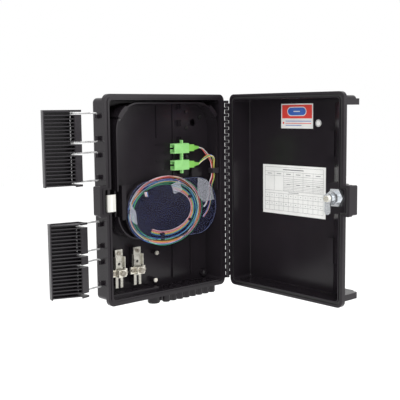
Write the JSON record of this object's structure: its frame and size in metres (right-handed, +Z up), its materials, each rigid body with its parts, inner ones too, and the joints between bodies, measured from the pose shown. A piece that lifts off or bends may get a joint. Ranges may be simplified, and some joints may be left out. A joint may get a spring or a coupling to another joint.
{
  "type": "fibre_termination_box",
  "caption": "Black wall-mounted fibre termination box, hinged lid swung open, with splice tray, green adapters, cable clamps, cam lock and two wire-bail lever latches",
  "frame": {"origin": "Centre of the four wall holes, on the back face", "axes": "+Y into the wall, +X towards the hinge side, +Z up"},
  "size_m": [0.308, 0.2435, 0.2712],
  "materials": {
    "black_abs": "moulded black ABS with a satin skin",
    "black_rubber": "soft black sealing rubber",
    "bright_steel": "bright zinc-plated steel",
    "nickel_steel": "nickel-plated pressed steel",
    "lock_chrome": "chrome-plated lock barrel",
    "green_plastic": "green connector plastic",
    "clear_cover": "clear bluish plastic sheet",
    "fibre_colours": "coated fibres in several colours",
    "white_tube": "white buffered fibre jackets",
    "white_label": "printed plastic label without lettering"
  },
  "bodies": {
    "base": {"base_shell": "black_abs", "hinge_pin": "bright_steel", "lock_strike": "bright_steel", "fibre_dish": "black_abs", "dish_screws": "nickel_steel", "adapter_rack": "black_abs", "rack_screws": "nickel_steel", "upper_adapter": "green_plastic", "lower_adapter": "green_plastic", "upper_connector": "green_plastic", "lower_connector": "green_plastic", "splice_tray": "black_abs", "tray_spacers": "black_abs", "tray_cover": "clear_cover", "fibre_coil": "fibre_colours", "upper_pigtail": "white_tube", "lower_pigtail": "white_tube", "pigtail_clip": "black_abs", "left_clamp_bracket": "nickel_steel", "right_clamp_bracket": "nickel_steel", "left_clamp_strap": "nickel_steel", "right_clamp_strap": "nickel_steel", "clamp_ear_screws": "nickel_steel", "clamp_crown_screws": "bright_steel", "clamp_foot_screws": "nickel_steel", "floor_screws": "nickel_steel", "drop_port_seals": "black_rubber", "feeder_port_seal": "black_rubber"},
    "lid": {"lid_shell": "black_abs", "lid_gasket": "black_rubber", "lock_barrel": "lock_chrome", "lock_nut": "bright_steel", "safety_label": "white_label", "record_card": "white_label", "round_sticker": "white_label"},
    "cam": {"lock_cam": "bright_steel", "lock_screw": "bright_steel"},
    "upper_bail": {"upper_latch_outer_wire": "bright_steel", "upper_latch_inner_wire": "bright_steel"},
    "upper_lever": {"upper_latch_lever": "black_abs"},
    "lower_bail": {"lower_latch_outer_wire": "bright_steel", "lower_latch_inner_wire": "bright_steel"},
    "lower_lever": {"lower_latch_lever": "black_abs"}
  },
  "joints": [
    {"name": "lid_hinge", "type": "hinge", "parent": "base", "child": "lid", "pos_m": [0.1027, -0.034, 0], "axis": [0, 0, 1], "range_deg": [-90, 90]},
    {"name": "lock_cam_turn", "type": "hinge", "parent": "lid", "child": "cam", "pos_m": [0.1047, -0.21445, 0.0025], "axis": [1, 0, 0], "range_deg": [-90, 0]},
    {"name": "upper_bail_swing", "type": "hinge", "parent": "base", "child": "upper_bail", "pos_m": [-0.09555, -0.014, 0.06625], "axis": [0, 0, -1], "range_deg": [-77.1, 15]},
    {"name": "upper_lever_swing", "type": "hinge", "parent": "upper_bail", "child": "upper_lever", "pos_m": [-0.13512, -0.01814, 0.06625], "axis": [0, 0, -1], "range_deg": [-89.6, 15]},
    {"name": "lower_bail_swing", "type": "hinge", "parent": "base", "child": "lower_bail", "pos_m": [-0.09555, -0.014, -0.06625], "axis": [0, 0, -1], "range_deg": [-69.1, 15]},
    {"name": "lower_lever_swing", "type": "hinge", "parent": "lower_bail", "child": "lower_lever", "pos_m": [-0.13416, -0.02361, -0.06625], "axis": [0, 0, -1], "range_deg": [-97.6, 15]}
  ]
}
